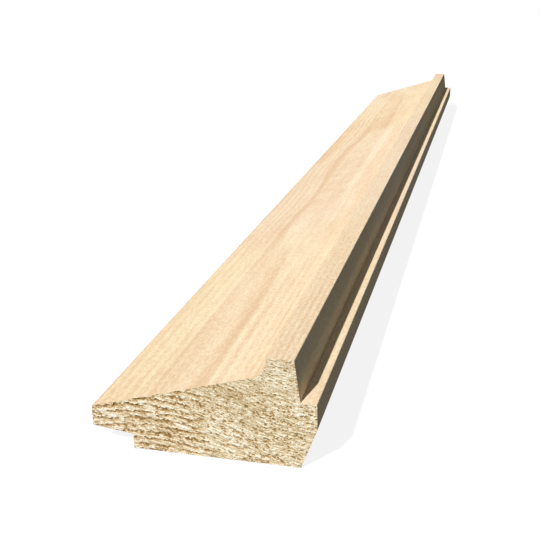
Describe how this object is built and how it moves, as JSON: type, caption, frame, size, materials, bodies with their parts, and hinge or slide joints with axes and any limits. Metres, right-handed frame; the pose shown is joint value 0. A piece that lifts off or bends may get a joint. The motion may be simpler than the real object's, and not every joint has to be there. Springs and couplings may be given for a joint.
{
  "type": "shadow strip moulding",
  "caption": "Planed softwood moulding with a sloping face, a coved ridge, a shadow rebate beside it and a lip that covers a wall panel's edge.",
  "frame": {"origin": "middle of the strip's length and width, on the plane of its flat back", "axes": "+Y along the strip, +Z out from the back towards the cap of the ridge, +X from the lip towards the ridge and the ceiling edge"},
  "size_m": [0.043, 0.4, 0.021],
  "materials": {
    "wood": "planed and untreated, with rough sawn ends"
  },
  "bodies": {
    "root": {"shadow_strip": "wood"}
  },
  "joints": []
}
